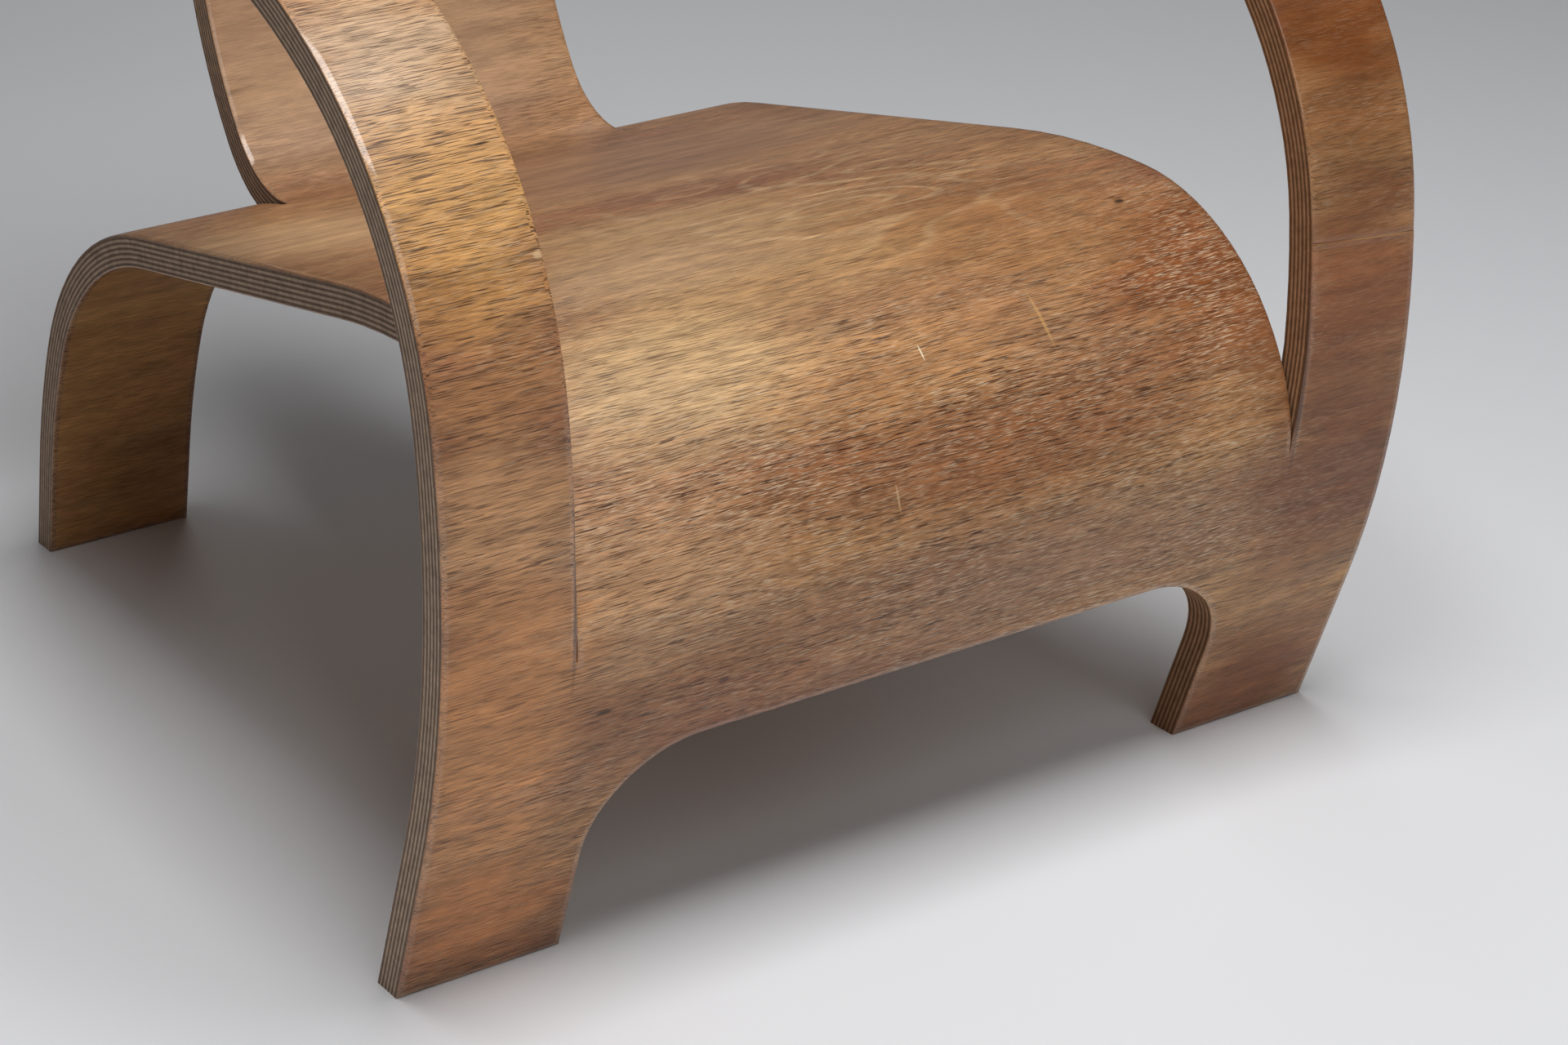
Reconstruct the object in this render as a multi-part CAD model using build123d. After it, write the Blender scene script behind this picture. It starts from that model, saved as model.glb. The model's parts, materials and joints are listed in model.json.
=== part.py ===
from build123d import *
import os
from math import cos, sin, radians

# Bent plywood armchair, in millimetres. One laminated sheet of veneers is slit and bent into feet, apron,
# seat, arms, back and rear legs. X is the sitter's left to right seen from the front, Y goes to the rear, Z up.

# Sheet: veneers with the grain turned by a right angle from one to the next
ply_count = 13
ply_thickness = 1.58
chair_width = 610.0

# Front legs and arms, side view, from the floor up: straight shin, knee, elbow, arm
foot_set_back = 22.4
shin_run = 99.4
knee_radius = 531.0
knee_angle = 26.6
elbow_radius = 219.4
elbow_angle = 53.5
arm_radius = 330.0
arm_fall = 3.0
arm_end_depth = 600.0
arm_width = 73.5
arm_end_corner = 28.0

# Arch between the front feet, front view
foot_width = 97.0
arch_height = 128.5
arch_corner = 62.0

# Seat: it leaves the front panel where the slits end; each slit narrows to its end
slit_angle = 11.9
slit_width = 3.0
slit_taper = 60.0
slit_bend_radius = 53.4
slit_bend_angle = 19.6
waterfall_radius = 137.0
waterfall_angle = 78.3
dish_radius = 514.0
seat_fall = 10.6
seat_run = 275.0
seat_narrowing = 8.5

# Back panel and rear legs: they part at the two rear slits
rear_slit_width = 2.4
back_half_width = 119.3
back_bend_radius = 60.5
back_bend_angle = 68.7
back_curve_radius = 258.0
back_lean = 12.6
back_height = 730.0
back_corner = 58.0
hock_radius = 218.0
hock_angle = 52.5
rear_leg_radius = 500.0
rear_leg_rake = 15.1

# Butt seam in the face veneer, across the right arm
seam_height = 316.4
seam_skew = 5.6

sheet = ply_count * ply_thickness
half_width = chair_width / 2
arm_inner = half_width - arm_width
seat_front_half_width = arm_inner - slit_width
seat_rear_half_width = seat_front_half_width - seat_narrowing
arch_half_width = half_width - foot_width
slit_tip = slit_width / 5
rear_leg_inner = back_half_width + rear_slit_width
reach = 2 * (chair_width + back_height)


def walk(start, heading, steps):
    """Follow a side profile and return its stations and the middles of its steps.

    A step is (radius, turn in degrees), or (None, length) for a straight run; a turn to the left is positive.
    """
    stations = [(start, heading)]
    middles = []
    for radius, amount in steps:
        for part in (amount / 2, amount):
            (y, z), h = stations[-1]
            if radius is None:
                place = (y + part * cos(h), z + part * sin(h))
                turned = h
            else:
                turned = h + radians(part)
                signed = radius if amount > 0 else -radius
                place = (y + signed * (sin(turned) - sin(h)), z + signed * (cos(h) - cos(turned)))
            if part == amount:
                stations.append((place, turned))
            else:
                middles.append((place, turned))
    return stations, middles


def inside(station, depth):
    """The point at a depth below the face of the sheet."""
    (y, z), h = station
    return (y + depth * sin(h), z - depth * cos(h))


def on_floor(station, depth):
    """The same point slid along the sheet to the floor."""
    (y, z), h = (inside(station, depth), station[1])
    return (y - z * cos(h) / sin(h), 0)


def layer_line(path, depth, floor=None):
    """Lines and arcs of one glue line; floor names the station, first or last, that stands on the floor."""
    stations, middles = path
    points = [inside(station, depth) for station in stations]
    if floor is not None:
        points[floor] = on_floor(stations[floor], depth)
    edges = []
    for first, middle, last, before, after in zip(points, middles, points[1:], stations, stations[1:]):
        if before[1] == after[1]:
            edges.append(Line(first, last))
        else:
            edges.append(ThreePointArc(first, inside(middle, depth), last))
    return edges, points[0], points[-1]


def layer(path, near, far, x_from, x_to, floor=None):
    """One layer of the sheet between two depths, drawn along X."""
    top, top_start, top_end = layer_line(path, near, floor)
    under, under_start, under_end = layer_line(path, far, floor)
    section = make_face(top + under + [Line(top_start, under_start), Line(top_end, under_end)])
    return extrude(Plane.YZ.offset(x_from) * section, amount=x_to - x_from)


def both_sides(solid):
    return solid + mirror(solid, about=Plane.YZ)


def front_cut(outline):
    """A front-view outline drawn right through the chair."""
    return extrude(Plane.XZ * outline, amount=reach, both=True)


def plan_cut(outline):
    """A plan outline drawn right through the chair."""
    return extrude(outline, amount=reach, both=True)


def rounded(outline, corners, radius):
    return fillet(corners(outline.vertices()), radius)


# Side profiles, all along the face of the sheet
upright = radians(90)
front_start = ((0, 0), upright + radians(foot_set_back))
panel_path = walk(*front_start, [(None, shin_run), (knee_radius, -slit_angle)])
slit_end = panel_path[0][-1]
arm_turn = 90 + foot_set_back - knee_angle - elbow_angle + arm_fall
arm_path = walk(*slit_end, [
    (knee_radius, slit_angle - knee_angle),
    (elbow_radius, -elbow_angle),
    (arm_radius, -arm_turn),
    (None, arm_end_depth),
])
dish_angle = 90 + foot_set_back - slit_angle - slit_bend_angle - waterfall_angle + seat_fall
seat_path = walk(*slit_end, [
    (slit_bend_radius, -slit_bend_angle),
    (waterfall_radius, -waterfall_angle),
    (dish_radius, -dish_angle),
    (None, seat_run),
])
rear_slit_end = seat_path[0][-1]
back_turn = 90 - back_lean + seat_fall - back_bend_angle
back_path = walk(*rear_slit_end, [
    (back_bend_radius, back_bend_angle),
    (back_curve_radius, back_turn),
    (None, back_height),
])
leg_turn = 90 - rear_leg_rake - seat_fall - hock_angle
leg_path = walk(*rear_slit_end, [
    (hock_radius, -hock_angle),
    (rear_leg_radius, -leg_turn),
    (None, sheet),
])

# Front view: feet and arch
panel_outline = Pos(0, reach / 2) * Rectangle(chair_width, reach)
arch = Rectangle(2 * arch_half_width, 2 * arch_height)
arch = rounded(arch, lambda corners: corners.group_by(Axis.Y)[-1], arch_corner)
panel_outline = panel_outline - arch

# Front view: strip that narrows the right front slit to its tip, along the arm's inner edge
slit_height = slit_end[0][1]
strip_inner = seat_front_half_width + slit_tip
strip_outline = make_face(Polyline(
    (arm_inner, slit_height - sheet),
    (strip_inner, slit_height - sheet),
    (strip_inner, slit_height),
    (arm_inner, slit_height + slit_taper),
    close=True,
))

# Front view: back panel with round top corners, and one rear leg
back_outline = Pos(0, back_height - reach / 2) * Rectangle(2 * back_half_width, reach)
back_outline = rounded(back_outline, lambda corners: corners.group_by(Axis.Y)[-1], back_corner)
leg_middle = (rear_leg_inner + seat_rear_half_width) / 2
leg_outline = Pos(leg_middle, reach / 2) * Rectangle(seat_rear_half_width - rear_leg_inner, reach)

# Plan: right arm with a round free end, and the seat, narrower to the rear
arm_outline = Pos(half_width - arm_width / 2, arm_end_depth - reach / 2) * Rectangle(arm_width, reach)
arm_outline = rounded(arm_outline, lambda corners: corners.group_by(Axis.Y)[-1], arm_end_corner)
seat_front = slit_end[0][0]
seat_rear = rear_slit_end[0][0]
lip_front = seat_front - waterfall_radius
seat_outline = make_face(Polyline(
    (seat_front_half_width, lip_front),
    (seat_front_half_width, seat_front),
    (seat_rear_half_width, seat_rear),
    (seat_rear_half_width, seat_rear + sheet),
    (-seat_rear_half_width, seat_rear + sheet),
    (-seat_rear_half_width, seat_rear),
    (-seat_front_half_width, seat_front),
    (-seat_front_half_width, lip_front),
    close=True,
))


def veneer(number):
    """One whole veneer, counted from the face: feet and apron, arms, seat, back and rear legs."""
    near = (number - 1) * ply_thickness
    far = number * ply_thickness
    panel = layer(panel_path, near, far, -half_width, half_width, floor=0) & front_cut(panel_outline)
    arm = layer(arm_path, near, far, arm_inner, half_width) & plan_cut(arm_outline)
    arm += layer(arm_path, near, far, strip_inner, arm_inner) & front_cut(strip_outline)
    seat = layer(seat_path, near, far, -half_width, half_width) & plan_cut(seat_outline)
    back = layer(back_path, near, far, -half_width, half_width) & front_cut(back_outline)
    leg = layer(leg_path, near, far, rear_leg_inner, half_width, floor=-1) & front_cut(leg_outline)
    return panel + both_sides(arm) + seat + back + both_sides(leg)


def above_seam():
    """Room over the butt seam of the right arm."""
    tilt = radians(seam_skew)
    seam = Plane(origin=(arm_inner + arm_width / 2, 0, seam_height), z_dir=(sin(tilt), 0, cos(tilt)))
    room = seam * Pos(0, 0, reach / 2) * Box(reach, reach, reach)
    return room & Pos(arm_inner - slit_width / 2 + reach / 2, 0, 0) * Box(reach, 2 * reach, 2 * reach)


nodes = {}
for number in range(1, ply_count + 1):
    grain = "cross_grain" if number % 2 else "long_grain"
    nodes[f"ply_{number:02d}_{grain}"] = veneer(number)
face = nodes["ply_01_cross_grain"]
nodes["ply_01_right_arm_piece"] = face & above_seam()
nodes["ply_01_cross_grain"] = face - above_seam()

# The origin is on the floor, in the middle of the chair's length and width
whole = Compound(children=[node.solid() for node in nodes.values()]).bounding_box()
to_middle = Pos(0, -(whole.min.Y + whole.max.Y) / 2, 0)
os.makedirs("parts", exist_ok=True)
for name, node in nodes.items():
    export_step(to_middle * node, f"parts/{name}.step")
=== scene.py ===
import bpy
import json
from collections import Counter
from math import cos, radians, sin
from mathutils import Euler, Matrix, Vector

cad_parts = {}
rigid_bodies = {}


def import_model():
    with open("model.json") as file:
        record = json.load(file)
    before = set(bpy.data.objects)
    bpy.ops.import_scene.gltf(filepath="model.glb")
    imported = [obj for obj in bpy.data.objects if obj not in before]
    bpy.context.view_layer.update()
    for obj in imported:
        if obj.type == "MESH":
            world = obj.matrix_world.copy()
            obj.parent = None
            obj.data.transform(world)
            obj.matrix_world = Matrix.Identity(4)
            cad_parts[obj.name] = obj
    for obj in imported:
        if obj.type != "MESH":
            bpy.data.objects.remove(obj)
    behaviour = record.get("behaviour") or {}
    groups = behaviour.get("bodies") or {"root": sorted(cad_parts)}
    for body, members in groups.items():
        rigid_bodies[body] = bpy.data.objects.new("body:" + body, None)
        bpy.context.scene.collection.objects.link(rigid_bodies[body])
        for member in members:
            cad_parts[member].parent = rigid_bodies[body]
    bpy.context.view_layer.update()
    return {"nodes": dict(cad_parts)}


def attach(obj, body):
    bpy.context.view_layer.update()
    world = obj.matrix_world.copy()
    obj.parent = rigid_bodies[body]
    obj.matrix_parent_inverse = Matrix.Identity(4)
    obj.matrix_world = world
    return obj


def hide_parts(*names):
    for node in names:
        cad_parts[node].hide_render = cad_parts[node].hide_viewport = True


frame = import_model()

cadNodes = frame["nodes"]


def toLinear(hexCode):
    shares = [int(hexCode[i:i + 2], 16) / 255 for i in (1, 3, 5)]
    return tuple(s / 12.92 if s <= 0.04045 else ((s + 0.055) / 1.055) ** 2.4 for s in shares) + (1.0,)


def addNode(tree, kind, settings={}, links={}):
    node = tree.nodes.new(kind)
    for key, value in settings.items():
        if isinstance(key, str) and hasattr(node, key):
            setattr(node, key, value)
        else:
            node.inputs[key].default_value = value
    for key, source in links.items():
        tree.links.new(source, node.inputs[key])
    return node


# camera: same place and lens as the photograph, found from the feet, slits and edges of the sheet
cameraView = {
    "place": (-1.0466, -1.7869, 0.9902), "azimuth": -33.34, "elevation": 23.64, "roll": -1.09,
    "lens": 85.53, "sensor": 36, "reach": 60,
}


def makeCamera(look):
    data = bpy.data.cameras.new("camera")
    data.sensor_fit = "HORIZONTAL"
    data.sensor_width = look["sensor"]
    data.lens = look["lens"]
    data.clip_end = look["reach"]
    camera = bpy.data.objects.new("camera", data)
    bpy.context.scene.collection.objects.link(camera)
    aim = Euler((radians(90 - look["elevation"]), 0, radians(look["azimuth"]))).to_matrix()
    turn = aim @ Matrix.Rotation(radians(look["roll"]), 3, "Z")
    camera.matrix_world = Matrix.Translation(look["place"]) @ turn.to_4x4()
    bpy.context.scene.camera = camera


makeCamera(cameraView)
print("camera placed")

# shown faces of the sheet: outer veneers with arrises rubbed round, further over the face than over the edge.
# Widths and depths in metres; angles in degrees: flat picks a face, quad joins triangles, smooth shades.
faceRound = {
    "borders": (0.0015, 0.0020), "drops": (0.0002, 0.00065), "radius": 0.0008, "rings": 3,
    "weld": 0.00001, "flat": 30, "quadFace": 2, "quadShape": 60, "smooth": 40, "sameWay": 0.9,
}
# butt seam across the right arm, only broken, not rubbed down: a spot on it, its tilt, its run across the arm,
# how near a point lies to count as on it, and the cuts that part its ends from its middle
armSeam = {"spot": (0.26825, 0, 0.3164), "skew": 5.6, "run": (0.236, 0.3005), "reach": 0.004, "cuts": 3}
faceSeeds = {
    "front": {"spot": (0, 0.02, 0.30), "facing": (0, 0.18, 0.98)},
    "arm": {"spot": (0.268, 0.1, 0.56), "facing": (0, 0, 1)},
    "rear": {"spot": (0, 0.02, 0.27), "facing": (0, -0.18, -0.98)},
}


def onSeam(spot, seam):
    tilt = radians(seam["skew"])
    away = (spot - Vector(seam["spot"])).dot(Vector((sin(tilt), 0, cos(tilt))))
    return abs(away) < seam["reach"] and seam["run"][0] < spot.x < seam["run"][1]


def pickFace(mesh, seed, shape):
    bpy.ops.mesh.select_mode(type="FACE")
    bpy.ops.mesh.select_all(action="DESELECT")
    bpy.ops.object.mode_set(mode="OBJECT")
    spot, facing = Vector(seed["spot"]), Vector(seed["facing"])
    near = [p for p in mesh.polygons if p.normal.dot(facing) > shape["sameWay"]]
    start = min(near, key=lambda p: (p.center - spot).length)
    start.select = True
    bpy.ops.object.mode_set(mode="EDIT")
    mesh.polygons.active = start.index
    bpy.ops.mesh.faces_select_linked_flat(sharpness=radians(shape["flat"]))


def divideSeam(mesh, seam):
    bpy.ops.mesh.region_to_loop()
    bpy.ops.object.mode_set(mode="OBJECT")
    picked = []
    for edge in mesh.edges:
        ends = [mesh.vertices[i].co for i in edge.vertices]
        if edge.select and onSeam((ends[0] + ends[1]) / 2, seam):
            picked.append(edge.index)
    bpy.ops.object.mode_set(mode="EDIT")
    bpy.ops.mesh.select_all(action="DESELECT")
    bpy.ops.object.mode_set(mode="OBJECT")
    for index in picked:
        mesh.edges[index].select = True
    bpy.ops.object.mode_set(mode="EDIT")
    if picked:
        bpy.ops.mesh.subdivide(number_cuts=seam["cuts"])


def lowerRim(mesh, depth):
    chosen = [p for p in mesh.polygons if p.select]
    uses = Counter(key for p in chosen for key in p.edge_keys)
    facing = {i: Vector() for key, count in uses.items() if count == 1 for i in key}
    for p in chosen:
        for i in p.vertices:
            if i in facing:
                facing[i] += p.normal
    for i, normal in facing.items():
        if not onSeam(mesh.vertices[i].co, armSeam):
            mesh.vertices[i].co -= normal.normalized() * depth


def makeFace(nodeName, pieceName, seed, shape):
    source = cadNodes[nodeName]
    piece = bpy.data.objects.new(pieceName, source.data.copy())
    bpy.context.scene.collection.objects.link(piece)
    mesh = piece.data
    mesh.materials.clear()
    mesh.materials.append(None)
    mesh.materials.append(None)
    bpy.ops.object.select_all(action="DESELECT")
    bpy.context.view_layer.objects.active = piece
    piece.select_set(True)
    bpy.ops.mesh.customdata_custom_splitnormals_clear()
    bpy.ops.object.mode_set(mode="EDIT")
    bpy.ops.mesh.select_all(action="SELECT")
    bpy.ops.mesh.remove_doubles(threshold=shape["weld"])
    bpy.ops.mesh.tris_convert_to_quads(
        face_threshold=radians(shape["quadFace"]), shape_threshold=radians(shape["quadShape"]))
    pickFace(mesh, seed, shape)
    divideSeam(mesh, armSeam)
    pickFace(mesh, seed, shape)
    for border in shape["borders"]:
        bpy.ops.mesh.inset(thickness=border, use_even_offset=True)
    bpy.ops.object.mode_set(mode="OBJECT")
    middle = {p.index for p in mesh.polygons if p.select}
    for drop in shape["drops"]:
        bpy.ops.object.mode_set(mode="EDIT")
        bpy.ops.mesh.select_more()
        bpy.ops.object.mode_set(mode="OBJECT")
        lowerRim(mesh, drop)
    for p in mesh.polygons:
        p.material_index = int(p.select and p.index not in middle)
    bpy.ops.object.mode_set(mode="EDIT")
    bpy.ops.mesh.region_to_loop()
    bpy.ops.mesh.bevel(offset=shape["radius"], segments=shape["rings"], material=1, clamp_overlap=True)
    bpy.ops.object.mode_set(mode="OBJECT")
    bpy.ops.object.shade_smooth_by_angle(angle=radians(shape["smooth"]))
    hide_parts(nodeName)
    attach(piece, "root")
    print(pieceName, len(mesh.polygons), "faces")
    return piece


frontFace = makeFace("ply_01_cross_grain", "front_face_veneer", faceSeeds["front"], faceRound)
armFace = makeFace("ply_01_right_arm_piece", "right_arm_face_veneer", faceSeeds["arm"], faceRound)
rearFace = makeFace("ply_13_cross_grain", "rear_face_veneer", faceSeeds["rear"], faceRound)

# rotary-cut birch veneer under worn satin varnish: hair-fine dark pores across the chair, golden to red-brown
# patches, pale dry fibre where the varnish has gone. Sizes in metres along and across the grain. Pores and
# fibre are drawn about 0.5 mm wide, several times wider than life, to show in a picture of the whole chair.
frontLook = {
    "name": "birch_veneer_worn_varnish", "pore": "#3C1F0F", "dry": "#D6BC9C", "figure": "#D4B68A",
    "tones": ("#865438", "#A0734C", "#B48758"), "specular": 0.3, "coat": 0.15, "coatRoughness": 0.22,
    "relief": 0.0002, "reliefStrength": 0.6, "wander": 0.005, "wanderScale": 7,
    "rag": (0.10, 0.045, 0.045), "tear": (11, 45, 45), "figureLine": (0.55, 1, 0, 0.42),
    "stainCore": 0.6, "markCore": 0.5,
    "layers": {
        "tone": {"size": (0.40, 0.12), "octaves": 4, "span": (0.32, 0.68, 0, 1)},
        "band": {"size": (0.09, 0.009), "octaves": 3, "span": (0.28, 0.72, 0.78, 1.20)},
        "mottle": {"size": (0.026, 0.007), "octaves": 3, "span": (0.30, 0.70, 0.88, 1.11)},
        "fibre": {"size": (0.012, 0.0006), "octaves": 3, "span": (0.30, 0.70, -0.36, 0.36)},
        "pore": {"size": (0.016, 0.00045), "octaves": 0, "span": (0.585, 0.63, 0, 0.92)},
        "poreDrift": {"size": (0.15, 0.05), "octaves": 3, "span": (0.34, 0.60, 0.6, 1)},
        "dry": {"size": (0.008, 0.0005), "octaves": 1, "span": (0.53, 0.66, 0, 1)},
        "dryDrift": {"size": (0.13, 0.04), "octaves": 3, "span": (0.42, 0.68, 0.12, 0.46)},
        "figure": {"size": (0.16, 0.070), "octaves": 1, "span": (0, 1, 0, 60)},
        "sheen": {"size": (0.10, 0.03), "octaves": 3, "span": (0.30, 0.70, 0.36, 0.56)},
    },
}
# wear, figure and painted light and shade of the front, placed one by one. Stains: centre, half sizes, colour,
# strength, how far they calm the pores and fibre; the pale honey ones on the left leg are partly the veneer's
# colour and partly painted light from the left front. Dry parts where the varnish has gone: centre, half sizes,
# strength.
# Figure: centre, half sizes. Marks, which are knots, bruises, scratches, the chipped seam and painted shade
# along the
# slits: centre, turn, half sizes, colour, strength.
frontWearAndPaintedLight = {
    "stainsAndPaintedLight": [
        ((0.268, -0.330, 0.470), (0.100, 0.160, 0.150), "#6E3C18", 0.95, 0.70),
        ((0.268, -0.366, 0.340), (0.060, 0.040, 0.035), "#5E351C", 0.60, 0.40),
        ((0.268, -0.366, 0.285), (0.090, 0.080, 0.070), "#8A502C", 0.80, 0.60),
        ((0.262, -0.350, 0.180), (0.080, 0.080, 0.110), "#7C4C2E", 0.90, 0.50),
        ((0.253, -0.300, 0.030), (0.090, 0.070, 0.070), "#804C2A", 0.90, 0.50),
        ((0.195, -0.305, 0.300), (0.080, 0.070, 0.070), "#7E441E", 0.85, 0.10),
        ((0.105, -0.250, 0.330), (0.120, 0.110, 0.060), "#96693E", 0.60, 0.20),
        ((0.020, -0.345, 0.245), (0.170, 0.060, 0.035), "#8A5632", 0.60, 0.00),
        ((0.090, -0.350, 0.165), (0.160, 0.060, 0.035), "#966E52", 0.60, 0.30),
        ((-0.130, -0.300, 0.305), (0.120, 0.080, 0.050), "#C4A273", 0.70, 0.10),
        ((-0.010, -0.320, 0.290), (0.110, 0.050, 0.035), "#BA8650", 0.50, 0.00),
        ((-0.060, -0.200, 0.330), (0.160, 0.120, 0.060), "#AE8C5E", 0.60, 0.40),
        ((-0.190, -0.355, 0.230), (0.100, 0.060, 0.070), "#B88E68", 0.80, 0.00),
        ((-0.267, -0.275, 0.500), (0.060, 0.060, 0.050), "#BEA68A", 0.50, 0.10),
        ((-0.267, -0.335, 0.430), (0.060, 0.070, 0.080), "#C89656", 0.70, 0.00),
        ((-0.285, -0.350, 0.400), (0.040, 0.040, 0.030), "#94602F", 0.50, 0.00),
        ((-0.272, -0.366, 0.345), (0.055, 0.040, 0.040), "#A8764A", 0.60, 0.20),
        # left leg, this row and the three after the grey patch: partly own colour, partly painted light from
        # the left front
        ((-0.272, -0.364, 0.285), (0.055, 0.050, 0.060), "#C69466", 0.80, 0.20),
        ((-0.299, -0.366, 0.280), (0.016, 0.030, 0.010), "#6A4E38", 0.60, 0.00),
        ((-0.270, -0.361, 0.205), (0.060, 0.060, 0.060), "#C48652", 0.75, 0.40),
        ((-0.270, -0.340, 0.130), (0.060, 0.060, 0.060), "#CC8E58", 0.75, 0.30),
        ((-0.268, -0.310, 0.050), (0.060, 0.050, 0.050), "#C07E4A", 0.80, 0.40),
        ((-0.167, 0.034, 0.296), (0.110, 0.090, 0.060), "#CAA47A", 0.70, 0.60),
        ((0.060, 0.050, 0.295), (0.200, 0.140, 0.060), "#8A6A54", 0.60, 0.70),
        ((-0.020, 0.240, 0.350), (0.220, 0.100, 0.180), "#AC8E72", 0.60, 0.80),
        ((0.000, 0.300, 0.600), (0.220, 0.150, 0.220), "#A88A68", 0.40, 0.70),
    ],
    "dry": [
        ((0.110, -0.350, 0.165), (0.220, 0.080, 0.070), 0.50),
        ((-0.090, -0.352, 0.195), (0.160, 0.060, 0.070), 0.22),
        ((0.210, -0.310, 0.290), (0.060, 0.080, 0.080), 0.50),
        ((-0.140, -0.330, 0.280), (0.120, 0.060, 0.060), 0.30),
        ((0.050, -0.340, 0.265), (0.160, 0.050, 0.050), 0.25),
        ((0.060, 0.300, 0.470), (0.160, 0.120, 0.160), 0.35),
    ],
    "figure": [((0.060, -0.150, 0.325), (0.200, 0.160, 0.100))],
    "marks": [
        ((0.183, -0.260, 0.3258), 0, (0.0042, 0.0022, 0.0022), "#2A1A10", 0.90),
        ((-0.2103, -0.350, 0.1621), 0, (0.0060, 0.0016, 0.0016), "#2A1A10", 0.80),
        ((-0.1393, -0.3493, 0.1596), 0, (0.0050, 0.0028, 0.0028), "#4C3028", 0.65),
        ((0.008, -0.3166, 0.2937), 0, (0.0007, 0.0055, 0.0055), "#E8D9B8", 0.80),
        ((0.0872, -0.3155, 0.2947), 0, (0.0014, 0.0200, 0.0200), "#C69A5E", 0.50),
        ((-0.0331, -0.3535, 0.2347), 0, (0.0009, 0.0090, 0.0090), "#D6B88A", 0.40),
        ((-0.2442, -0.316, 0.4562), 0, (0.0050, 0.0008, 0.0008), "#2E1C10", 0.90),
        ((-0.2339, -0.3463, 0.4073), 0, (0.0035, 0.0024, 0.0024), "#D3B288", 0.60),
        ((0.280, -0.3660, 0.3153), 5.6, (0.0320, 0.0200, 0.0010), "#B88D60", 0.70),
        # both rows: dark bands along the slits, painted shade in the gaps
        ((-0.2306, -0.3600, 0.2500), 0, (0.0024, 0.0800, 0.0750), "#45291A", 0.75),
        ((0.2306, -0.3600, 0.2500), 0, (0.0024, 0.0800, 0.0750), "#45291A", 0.75),
    ],
}
bareWear = {"stainsAndPaintedLight": [], "dry": [], "figure": [], "marks": []}


def toLimits(span):
    return dict(zip(("From Min", "From Max", "To Min", "To Max"), span))


def softSpot(tree, coords, centre, half, span, turn=0):
    stretch = {"vector_type": "TEXTURE", "Location": centre, "Rotation": (0, radians(turn), 0), "Scale": half}
    place = addNode(tree, "ShaderNodeMapping", stretch, {"Vector": coords})
    ball = addNode(tree, "ShaderNodeTexGradient", {"gradient_type": "SPHERICAL"}, {"Vector": place.outputs[0]})
    return addNode(tree, "ShaderNodeMapRange", toLimits(span), {"Value": ball.outputs["Fac"]}).outputs[0]


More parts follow.
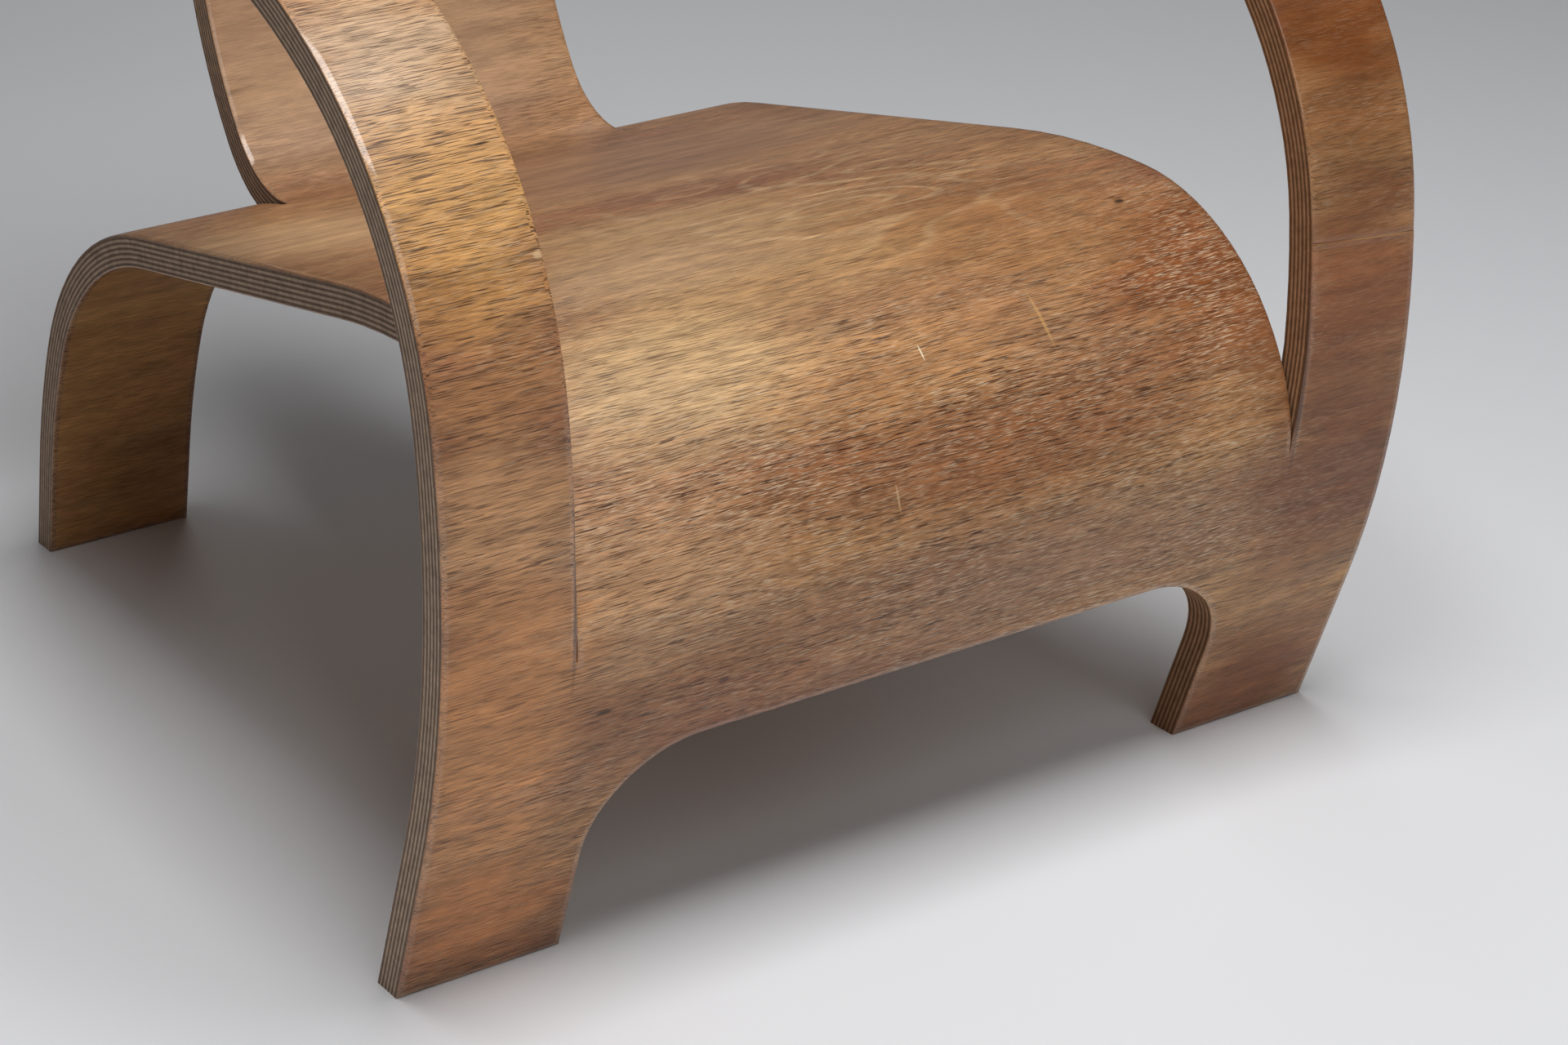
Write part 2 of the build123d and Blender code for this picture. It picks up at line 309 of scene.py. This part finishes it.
def makeFaceVeneer(look, wearAndPaintedLight):
    material = bpy.data.materials.new(look["name"])
    material.use_nodes = True
    tree = material.node_tree
    shader = tree.nodes["Principled BSDF"]
    shader.inputs["Coat Weight"].default_value = look["coat"]
    shader.inputs["Coat Roughness"].default_value = look["coatRoughness"]
    shader.inputs["Specular IOR Level"].default_value = look["specular"]
    spot = addNode(tree, "ShaderNodeTexCoord").outputs["Object"]

    # the grain wanders a little off the straight
    drift = addNode(tree, "ShaderNodeTexNoise", {"Scale": look["wanderScale"], "Detail": 2}, {"Vector": spot})
    pull = {"operation": "MULTIPLY_ADD", 1: (0, look["wander"], look["wander"])}
    grain = addNode(tree, "ShaderNodeVectorMath", pull, {0: drift.outputs["Color"], 2: spot}).outputs[0]
    layers = {}
    for count, (name, layer) in enumerate(look["layers"].items()):
        along, across = layer["size"]
        stretch = {"Location": (count, 3 * count, 7 * count), "Scale": (1 / along, 1 / across, 1 / across)}
        place = addNode(tree, "ShaderNodeMapping", stretch, {"Vector": grain})
        pattern = {"Scale": 1, "Detail": layer["octaves"], "Roughness": 0.6}
        noise = addNode(tree, "ShaderNodeTexNoise", pattern, {"Vector": place.outputs[0]})
        shown = addNode(tree, "ShaderNodeMapRange", toLimits(layer["span"]), {"Value": noise.outputs["Fac"]})
        layers[name] = shown.outputs[0]

    ramp = addNode(tree, "ShaderNodeValToRGB", {}, {"Fac": layers["tone"]})
    stops = ramp.color_ramp.elements
    stops.new(0.5)
    for stop, hexCode in zip(stops, look["tones"]):
        stop.color = toLinear(hexCode)
    colour = ramp.outputs["Color"]

    # stains, and the patches of painted light among them, have ragged outlines, drawn out along the grain
    tear = addNode(tree, "ShaderNodeMapping", {"Scale": look["tear"]}, {"Vector": grain})
    torn = addNode(tree, "ShaderNodeTexNoise", {"Scale": 1, "Detail": 3}, {"Vector": tear.outputs[0]})
    centred = {"operation": "SUBTRACT", 1: (0.5, 0.5, 0.5)}
    middle = addNode(tree, "ShaderNodeVectorMath", centred, {0: torn.outputs["Color"]})
    spread = {"operation": "MULTIPLY_ADD", 1: look["rag"]}
    ragged = addNode(tree, "ShaderNodeVectorMath", spread, {0: middle.outputs[0], 2: spot}).outputs[0]
    full = addNode(tree, "ShaderNodeValue")
    full.outputs[0].default_value = 1
    lively = full.outputs[0]
    for centre, half, hexCode, strength, calm in wearAndPaintedLight["stainsAndPaintedLight"]:
        share = softSpot(tree, ragged, centre, half, (0, look["stainCore"], 0, strength))
        tint = {"data_type": "RGBA", 7: toLinear(hexCode)}
        colour = addNode(tree, "ShaderNodeMix", tint, {0: share, 6: colour}).outputs[2]
        calming = {"operation": "MULTIPLY_ADD", 1: -calm / strength, 2: 1}
        rest = addNode(tree, "ShaderNodeMath", calming, {0: share}).outputs[0]
        lively = addNode(tree, "ShaderNodeMath", {"operation": "MULTIPLY"}, {0: lively, 1: rest}).outputs[0]

    # broad pale figure, as rotary cutting leaves it
    ring = addNode(tree, "ShaderNodeMath", {"operation": "SINE"}, {0: layers["figure"]})
    limits = toLimits(look["figureLine"])
    line = addNode(tree, "ShaderNodeMapRange", limits, {"Value": ring.outputs[0]}).outputs[0]
    for centre, half in wearAndPaintedLight["figure"]:
        share = softSpot(tree, spot, centre, half, (0, 1, 0, 1))
        shown = addNode(tree, "ShaderNodeMath", {"operation": "MULTIPLY"}, {0: line, 1: share}).outputs[0]
        tint = {"data_type": "RGBA", 7: toLinear(look["figure"])}
        colour = addNode(tree, "ShaderNodeMix", tint, {0: shown, 6: colour}).outputs[2]

    swing = {0: layers["fibre"], 1: lively}
    fibre = addNode(tree, "ShaderNodeMath", {"operation": "MULTIPLY_ADD", 2: 1}, swing)
    for shade in (layers["band"], layers["mottle"], fibre.outputs[0]):
        darken = {"data_type": "RGBA", "blend_type": "MULTIPLY", 0: 1}
        colour = addNode(tree, "ShaderNodeMix", darken, {6: colour, 7: shade}).outputs[2]
    # pores and dry fibre come and go in drifts
    for centre, half, strength in wearAndPaintedLight["dry"]:
        share = softSpot(tree, ragged, centre, half, (0, look["stainCore"], 0, strength))
        more = {0: layers["dryDrift"], 1: share}
        layers["dryDrift"] = addNode(tree, "ShaderNodeMath", {"operation": "ADD"}, more).outputs[0]
    masks = {}
    for name in ("pore", "dry"):
        drifts = {0: layers[name], 1: layers[name + "Drift"]}
        patches = addNode(tree, "ShaderNodeMath", {"operation": "MULTIPLY"}, drifts).outputs[0]
        mask = addNode(tree, "ShaderNodeMath", {"operation": "MULTIPLY"}, {0: patches, 1: lively})
        masks[name] = mask.outputs[0]
        tint = {"data_type": "RGBA", 7: toLinear(look[name])}
        colour = addNode(tree, "ShaderNodeMix", tint, {0: masks[name], 6: colour}).outputs[2]
    for centre, turn, half, hexCode, strength in wearAndPaintedLight["marks"]:
        share = softSpot(tree, spot, centre, half, (0, look["markCore"], 0, strength), turn)
        tint = {"data_type": "RGBA", 7: toLinear(hexCode)}
        colour = addNode(tree, "ShaderNodeMix", tint, {0: share, 6: colour}).outputs[2]
    levels = {0: fibre.outputs[0], 1: masks["pore"]}
    height = addNode(tree, "ShaderNodeMath", {"operation": "SUBTRACT"}, levels)
    relief = {"Strength": look["reliefStrength"], "Distance": look["relief"]}
    bump = addNode(tree, "ShaderNodeBump", relief, {"Height": height.outputs[0]})
    tree.links.new(colour, shader.inputs["Base Color"])
    tree.links.new(layers["sheen"], shader.inputs["Roughness"])
    tree.links.new(bump.outputs[0], shader.inputs["Normal"])
    return material


frontVeneer = makeFaceVeneer(frontLook, frontWearAndPaintedLight)
# arrises are rubbed smooth by hands and hold a glint
arrisLook = dict(
    frontLook, name="birch_veneer_polished_arris", relief=0.00005, coat=0.8, coatRoughness=0.12)
arrisVeneer = makeFaceVeneer(arrisLook, frontWearAndPaintedLight)
# the underside is less worn, its pores are fainter, and its tones are set lighter: painted light on the shaded
# underside
rearPore = dict(frontLook["layers"]["pore"], span=(0.585, 0.63, 0, 0.35))
rearLook = dict(
    frontLook, name="birch_veneer_underside", tones=("#8E6338", "#AC7B4A", "#BE8F55"), dry="#A98F70",
    layers=dict(frontLook["layers"], pore=rearPore))
rearVeneer = makeFaceVeneer(rearLook, bareWear)
for piece, material in ((frontFace, frontVeneer), (armFace, frontVeneer), (rearFace, rearVeneer)):
    piece.data.materials[0] = material
    piece.data.materials[1] = arrisVeneer
print("faces dressed")

# bare sanded edges of the inner veneers: pale where the grain runs across the chair, dark where it runs along
# the bend; greyed on the left side, browner on the right. Fleck, relief and turn, from grey to brown across the
# chair, in metres.
edgeLook = {
    "cross_grain": {"grey": "#C4AB92", "brown": "#A47A59"},
    "long_grain": {"grey": "#7E6653", "brown": "#694A34"},
    "roughness": 0.62, "specular": 0.15, "turn": (-0.29, 0.15, 0, 1),
    "fleck": 0.006, "fleckSpan": (0.30, 0.70, 0.70, 1.20), "relief": 0.0002, "reliefStrength": 0.4,
}


def makeEdgeVeneer(name, colours, look):
    material = bpy.data.materials.new(name)
    material.use_nodes = True
    tree = material.node_tree
    shader = tree.nodes["Principled BSDF"]
    shader.inputs["Roughness"].default_value = look["roughness"]
    shader.inputs["Specular IOR Level"].default_value = look["specular"]
    spot = addNode(tree, "ShaderNodeTexCoord").outputs["Object"]
    axes = addNode(tree, "ShaderNodeSeparateXYZ", {}, {0: spot})
    across = addNode(tree, "ShaderNodeMapRange", toLimits(look["turn"]), {"Value": axes.outputs["X"]})
    tint = {"data_type": "RGBA", 6: toLinear(colours["grey"]), 7: toLinear(colours["brown"])}
    colour = addNode(tree, "ShaderNodeMix", tint, {0: across.outputs[0]})
    pattern = {"Scale": 1 / look["fleck"], "Detail": 4, "Roughness": 0.7}
    fleck = addNode(tree, "ShaderNodeTexNoise", pattern, {"Vector": spot})
    shade = addNode(tree, "ShaderNodeMapRange", toLimits(look["fleckSpan"]), {"Value": fleck.outputs["Fac"]})
    darken = {"data_type": "RGBA", "blend_type": "MULTIPLY", 0: 1}
    flecked = addNode(tree, "ShaderNodeMix", darken, {6: colour.outputs[2], 7: shade.outputs[0]})
    relief = {"Strength": look["reliefStrength"], "Distance": look["relief"]}
    bump = addNode(tree, "ShaderNodeBump", relief, {"Height": fleck.outputs["Fac"]})
    tree.links.new(flecked.outputs[2], shader.inputs["Base Color"])
    tree.links.new(bump.outputs[0], shader.inputs["Normal"])
    return material


for grain in ("cross_grain", "long_grain"):
    edgeVeneer = makeEdgeVeneer("birch_edge_" + grain, edgeLook[grain], edgeLook)
    for name, node in cadNodes.items():
        if name.endswith(grain):
            node.data.materials.clear()
            node.data.materials.append(edgeVeneer)
print("edges dressed")

# studio: pale seamless floor, a softbox overhead, weak ones in front and behind, dim surround
studio = {
    "floor": "#E2E3E6", "floorSize": 14, "floorRoughness": 0.6, "surround": 0.05, "surroundTone": "#FFFFFF",
    "lamps": {
        "softbox_overhead": {"place": (-0.1, -0.75, 2.3), "aim": (0, -0.1, 0.2), "size": 1.3, "power": 50},
        "softbox_front": {"place": (-0.3, -2.3, 1.6), "aim": (0, -0.1, 0.2), "size": 1.4, "power": 12},
        "softbox_rear": {"place": (1.2, 2.6, 1.9), "aim": (1.0, 1.8, 0), "size": 1.4, "power": 9},
    },
}


def makeStudio(look):
    bpy.ops.object.select_all(action="DESELECT")
    bpy.ops.mesh.primitive_plane_add(size=look["floorSize"], location=(0, 0, 0))
    floor = bpy.context.object
    floor.name = "floor"
    material = bpy.data.materials.new("painted_studio_floor")
    material.use_nodes = True
    shader = material.node_tree.nodes["Principled BSDF"]
    shader.inputs["Base Color"].default_value = toLinear(look["floor"])
    shader.inputs["Roughness"].default_value = look["floorRoughness"]
    floor.data.materials.append(material)
    for name, lampLook in look["lamps"].items():
        lamp = bpy.data.lights.new(name, "AREA")
        lamp.size = lampLook["size"]
        lamp.energy = lampLook["power"]
        box = bpy.data.objects.new(name, lamp)
        bpy.context.scene.collection.objects.link(box)
        box.location = lampLook["place"]
        box.rotation_euler = (Vector(lampLook["aim"]) - box.location).to_track_quat("-Z", "Y").to_euler()
    world = bpy.data.worlds.new("surround")
    bpy.context.scene.world = world
    world.use_nodes = True
    background = world.node_tree.nodes["Background"]
    background.inputs["Color"].default_value = toLinear(look["surroundTone"])
    background.inputs["Strength"].default_value = look["surround"]


makeStudio(studio)
bpy.context.scene.view_settings.view_transform = "Standard"
print("studio lit")
